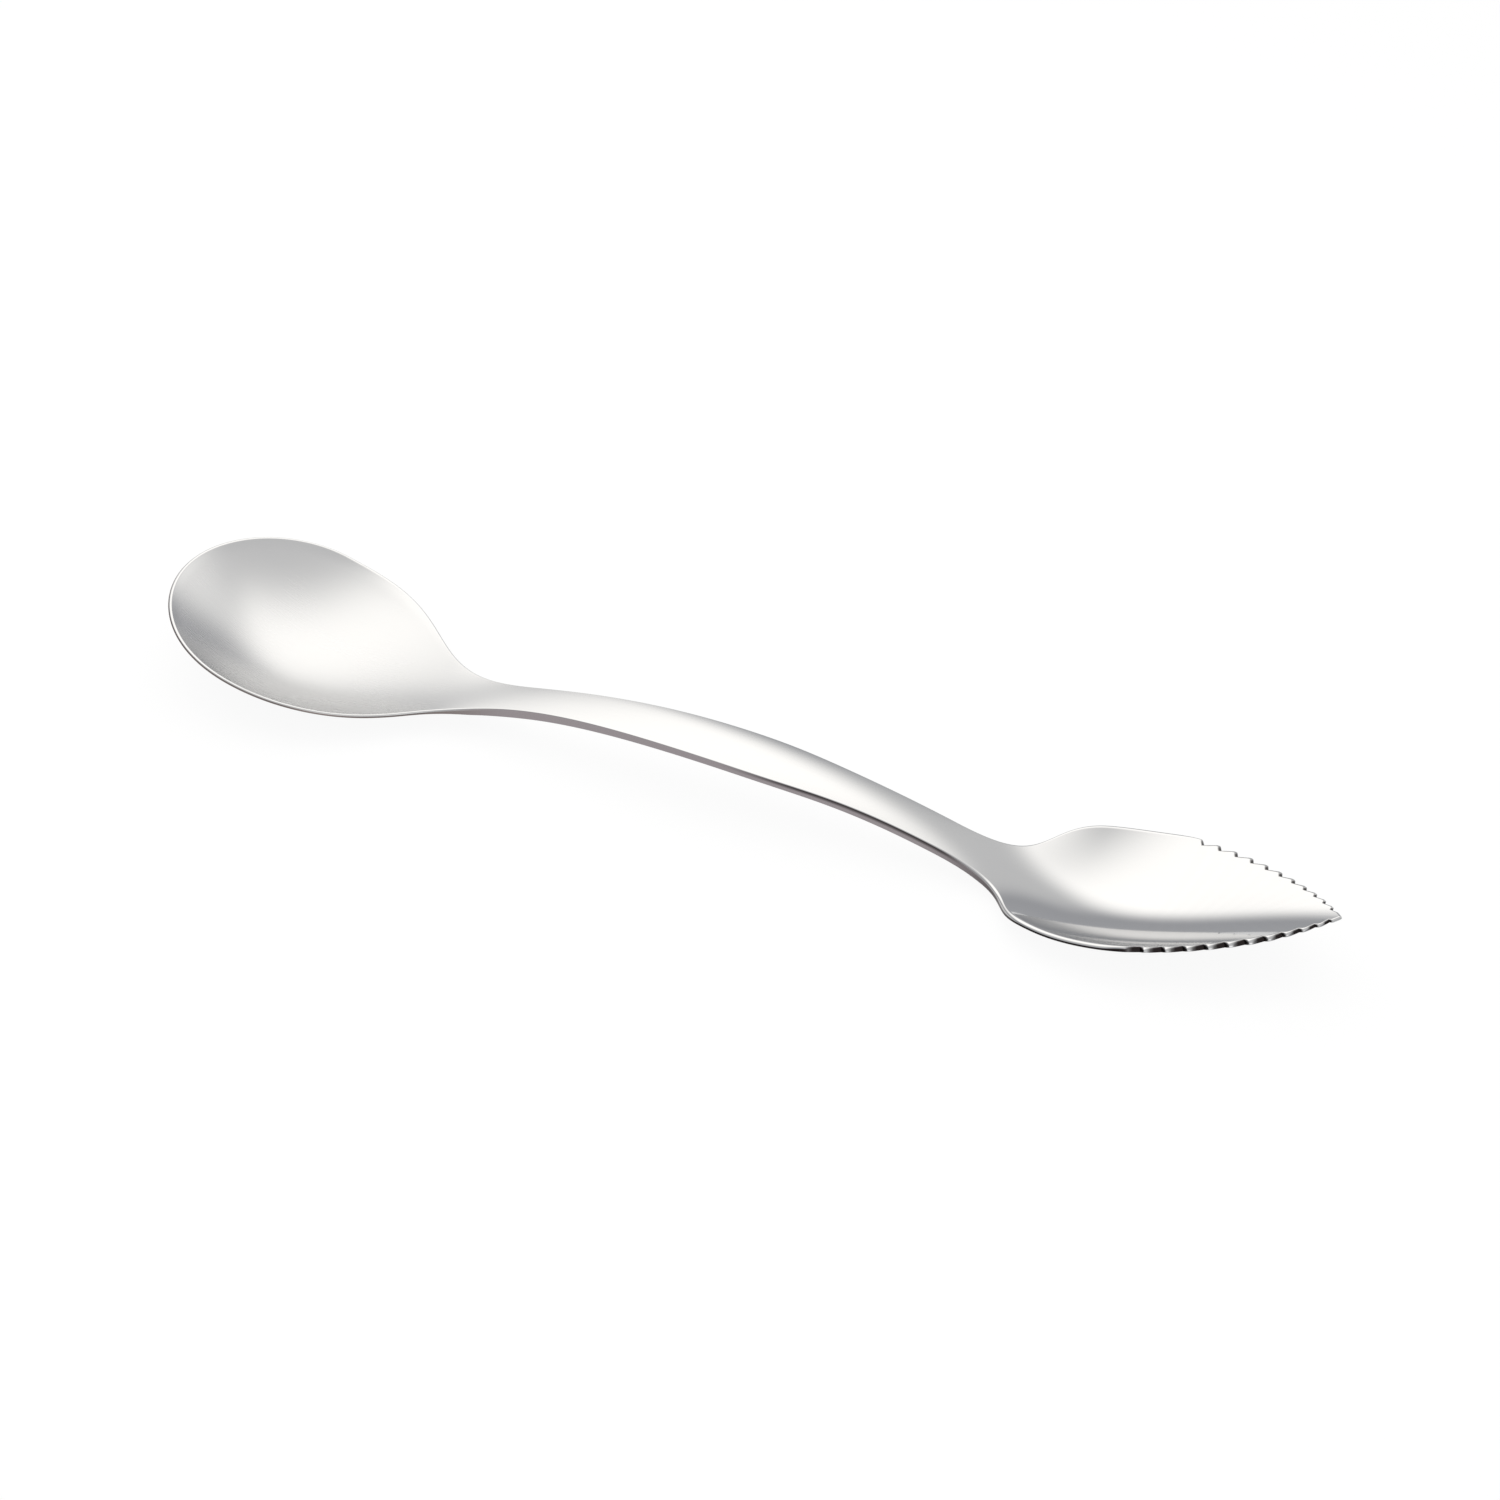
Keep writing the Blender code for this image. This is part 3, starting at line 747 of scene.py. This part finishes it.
panel(
    "main_light",
    centre=(-0.168, 0.064, 0.258),
    aim=(-0.042, -0.188, 0.003),
    turn=math.radians(-57.8),
    half_size=(0.333, 0.276),
    solid=(0.0, 0.65),
    brightness=1.95,
    tint=(1.0, 0.985, 0.955),
)
panel(
    "side_light",
    centre=(1.14, 1.53, 0.59),
    aim=SPOON,
    turn=0.0,
    half_size=(1.35, 1.35),
    solid=(0.0, 0.0),
    brightness=1.49,
    tint=(1.0, 0.99, 0.97),
)
panel(
    "front_light",
    centre=(1.2, -1.4, 0.85),
    aim=SPOON,
    turn=0.0,
    half_size=(1.0, 0.6),
    solid=(0.2, 0.2),
    brightness=1.6,
    tint=(1.0, 1.0, 1.0),
)

bpy.ops.object.light_add(type="AREA", location=(0, 0, LAMP_HEIGHT))
lamp = bpy.context.object
lamp.name = "floor_lamp"
lamp.data.size = LAMP_SIZE
lamp.data.energy = LAMP_POWER
lamp.visible_glossy = False
lamp.visible_camera = False

world = bpy.data.worlds.new("white_room")
world.use_nodes = True
world.node_tree.nodes.clear()
room = Signal(world.node_tree)
ray = room.node("ShaderNodeTexCoord", {}, {}, "Generated")
rise = room.node("ShaderNodeSeparateXYZ", {}, {"Vector": ray}, "Z")
ceiling = smooth_rise(room, rise, *CEILING_FROM)
walls = room.node("ShaderNodeBackground", {}, {"Color": WALL_TINT, "Strength": WALL_GLOW})
overhead = room.node("ShaderNodeBackground", {}, {"Color": (1, 1, 1, 1), "Strength": CEILING_GLOW})
around = room.node("ShaderNodeMixShader", {}, {"Fac": ceiling, 1: walls, 2: overhead})
room.node("ShaderNodeOutputWorld", {}, {"Surface": around})
bpy.context.scene.world = world
bpy.context.scene.view_settings.view_transform = "Standard"


# Camera: a long lens about a metre off, above and to the right of the spoon's near side, turned a
# little on its axis and shifted so that the spoon lies in the frame as it does in the photograph.

CAMERA_AZIMUTH = math.radians(23.76)
CAMERA_ELEVATION = math.radians(36.155)
CAMERA_ROLL = math.radians(2.423)
CAMERA_DISTANCE = 1.0586
SENSOR_WIDTH = 36.0
LENS_LENGTH = 161.2
LENS_SHIFT = (0.0042, 0.0340)

bpy.ops.object.camera_add()
camera = bpy.context.object
camera.name = "camera"
level = math.cos(CAMERA_ELEVATION)
to_right = math.sin(CAMERA_AZIMUTH) * level
to_front = math.cos(CAMERA_AZIMUTH) * level
back = Vector((to_right, -to_front, math.sin(CAMERA_ELEVATION)))
camera.location = back * CAMERA_DISTANCE
camera.rotation_mode = "QUATERNION"
camera.rotation_quaternion = (-back).to_track_quat("-Z", "Y") @ Quaternion((0, 0, 1), CAMERA_ROLL)
camera.data.sensor_width = SENSOR_WIDTH
camera.data.lens = LENS_LENGTH
camera.data.shift_x, camera.data.shift_y = LENS_SHIFT
bpy.context.scene.camera = camera
